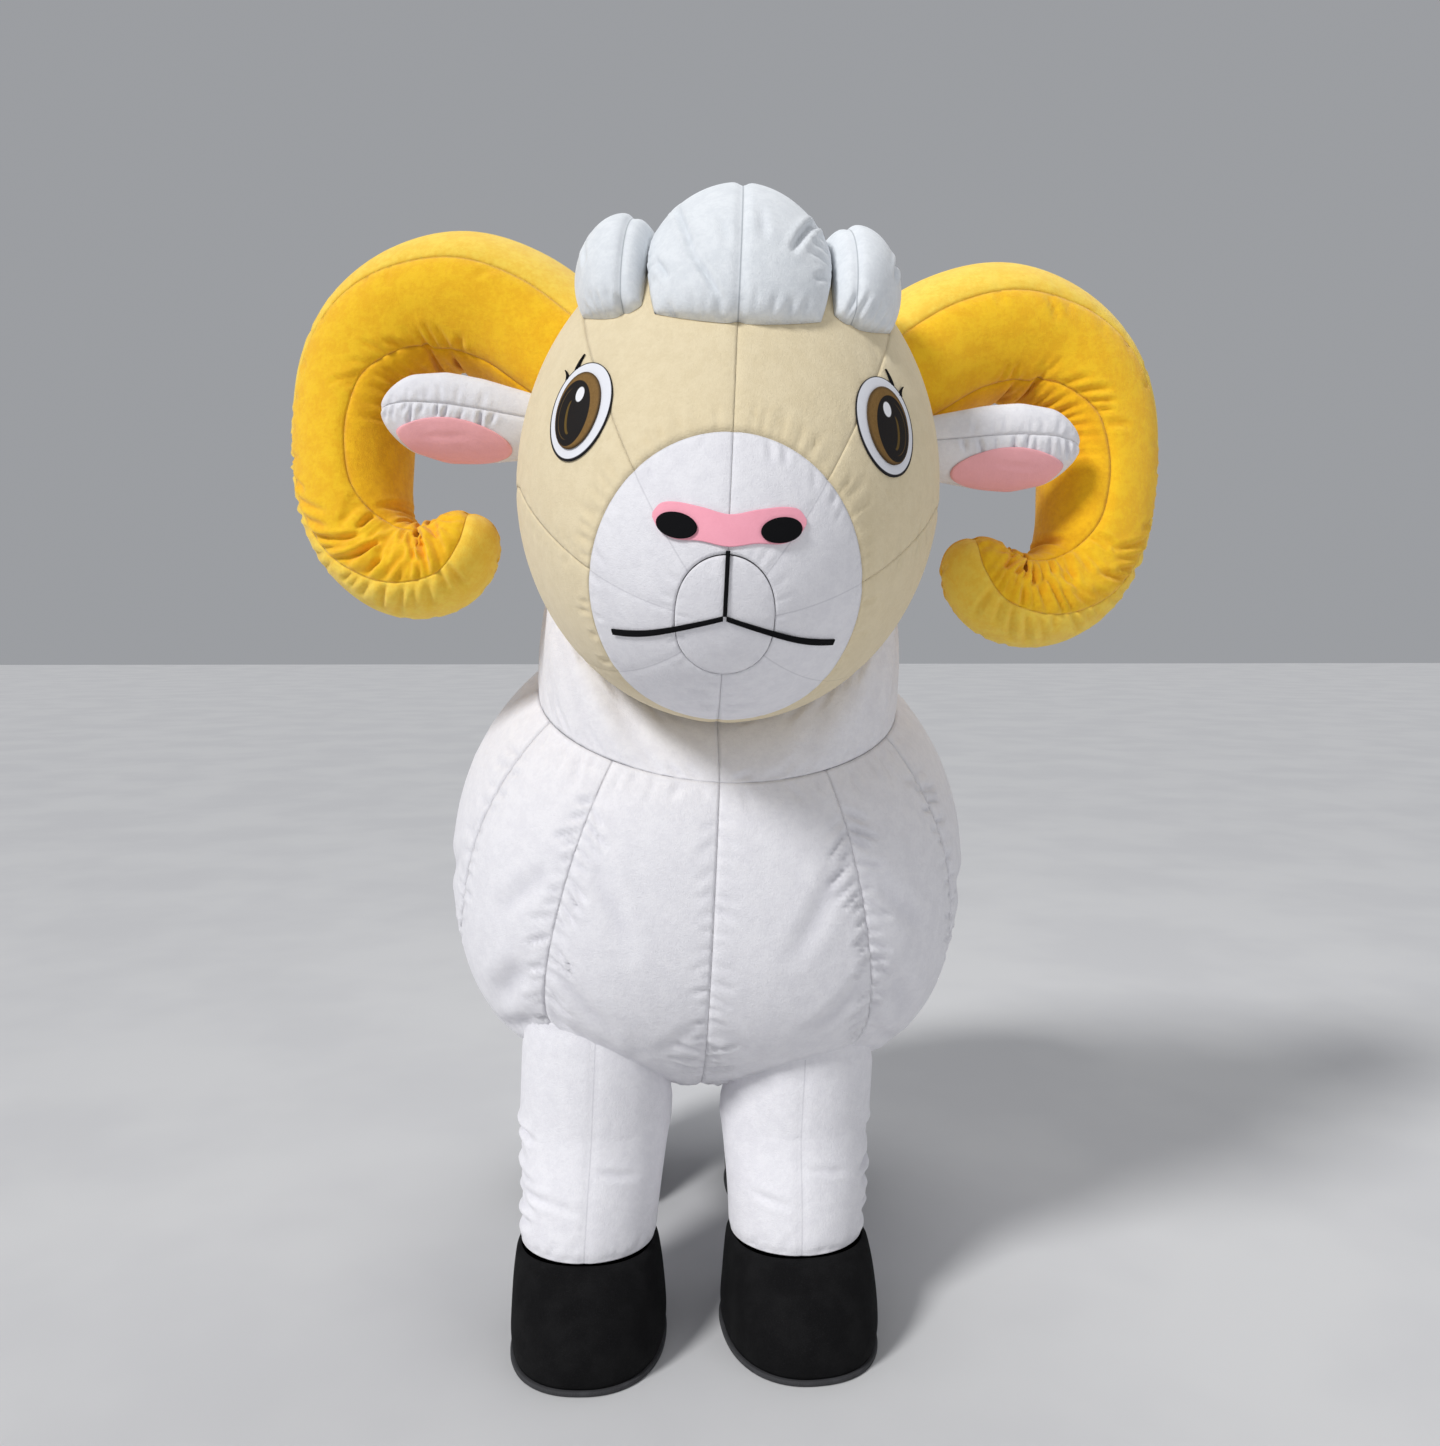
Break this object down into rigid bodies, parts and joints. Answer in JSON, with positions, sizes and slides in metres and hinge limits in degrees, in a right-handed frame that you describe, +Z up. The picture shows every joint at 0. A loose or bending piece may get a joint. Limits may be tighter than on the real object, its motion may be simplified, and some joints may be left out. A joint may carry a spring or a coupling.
{
  "type": "inflatable goat costume",
  "caption": "Hollow air-filled goat costume of sewn plush, standing on hooved legs, with a round head, curled horns, side ears and a wool tuft.",
  "frame": {"origin": "on the floor under the middle of the part's box", "axes": "+Z up, the goat's face looks along -Y and its left horn (as seen from the front) lies at -X"},
  "size_m": [1.5293, 1.4293, 1.9301],
  "materials": {
    "white_plush": "short-pile plush with a soft sheen",
    "beige_plush": "short-pile plush with a soft sheen",
    "horn_plush": "short-pile plush with a soft sheen",
    "pink_plush": "short-pile plush",
    "black_plush": "matt short-pile plush",
    "sole": "thick plain woven cloth",
    "eye_white": "smooth printed cloth",
    "eye_iris": "smooth printed cloth"
  },
  "bodies": {
    "root": {"back_left": "white_plush", "back_right": "white_plush", "back_strip": "white_plush", "cheek_left": "beige_plush", "cheek_right": "beige_plush", "chest_left": "white_plush", "chest_right": "white_plush", "ear_left_front": "white_plush", "ear_left_lining": "pink_plush", "ear_left_rear": "white_plush", "ear_right_front": "white_plush", "ear_right_lining": "pink_plush", "ear_right_rear": "white_plush", "eye_left_iris": "eye_iris", "eye_left_white": "eye_white", "eye_right_iris": "eye_iris", "eye_right_white": "eye_white", "flank_left": "white_plush", "flank_right": "white_plush", "forehead_left": "beige_plush", "forehead_right": "beige_plush", "hoof_front_left": "black_plush", "hoof_front_right": "black_plush", "hoof_rear_left": "black_plush", "hoof_rear_right": "black_plush", "horn_left_front": "horn_plush", "horn_left_inner": "horn_plush", "horn_left_outer": "horn_plush", "horn_left_rear": "horn_plush", "horn_right_front": "horn_plush", "horn_right_inner": "horn_plush", "horn_right_outer": "horn_plush", "horn_right_rear": "horn_plush", "jaw_left": "beige_plush", "jaw_right": "beige_plush", "leg_front_left": "white_plush", "leg_front_right": "white_plush", "leg_rear_left": "white_plush", "leg_rear_right": "white_plush", "mouth_left": "black_plush", "mouth_right": "black_plush", "muzzle_disc": "white_plush", "muzzle_left": "white_plush", "muzzle_right": "white_plush", "neck_left": "white_plush", "neck_right": "white_plush", "nose": "pink_plush", "nostril_left": "black_plush", "nostril_right": "black_plush", "philtrum": "black_plush", "shoulder_left": "white_plush", "shoulder_right": "white_plush", "sole_front_left": "sole", "sole_front_right": "sole", "sole_rear_left": "sole", "sole_rear_right": "sole", "tuft_left": "white_plush", "tuft_middle": "white_plush", "tuft_rear": "white_plush", "tuft_right": "white_plush"}
  },
  "joints": []
}
